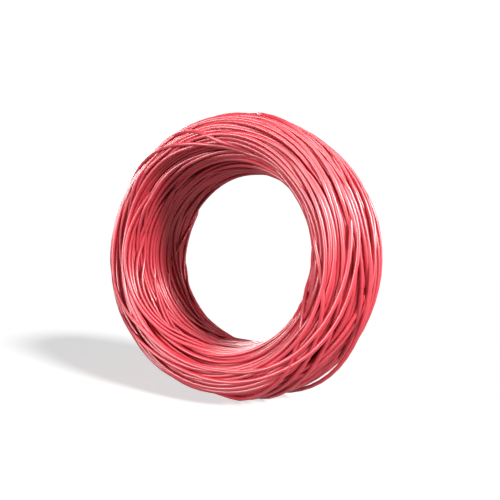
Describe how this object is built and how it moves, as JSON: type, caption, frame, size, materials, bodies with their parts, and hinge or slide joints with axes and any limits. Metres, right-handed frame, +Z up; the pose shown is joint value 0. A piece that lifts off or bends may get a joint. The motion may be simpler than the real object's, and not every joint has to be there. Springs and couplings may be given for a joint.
{
  "type": "coil of insulated wire",
  "caption": "Bare ring of red PVC-insulated stranded hook-up wire, wound without a spool, standing on its edge, with both cut ends lying on the bundle.",
  "frame": {"origin": "on the floor plane, under the middle of the coil's box: the middle of the flattened lowest turns", "axes": "+Y along the coil's axis, away from its front face; +Z up; +X to the right seen from the front"},
  "size_m": [0.143, 0.059, 0.1413],
  "materials": {
    "jacket": "glossy extruded soft PVC, red",
    "copper": null
  },
  "bodies": {
    "root": {"wire_coil": "jacket", "loose_turn": "jacket", "outer_end_jacket": "jacket", "outer_end_strand_1": "copper", "outer_end_strand_2": "copper", "outer_end_strand_3": "copper", "outer_end_strand_4": "copper", "outer_end_strand_5": "copper", "outer_end_strand_6": "copper", "outer_end_strand_7": "copper", "inner_end_jacket": "jacket", "inner_end_strand_1": "copper", "inner_end_strand_2": "copper", "inner_end_strand_3": "copper", "inner_end_strand_4": "copper", "inner_end_strand_5": "copper", "inner_end_strand_6": "copper", "inner_end_strand_7": "copper"}
  },
  "joints": []
}
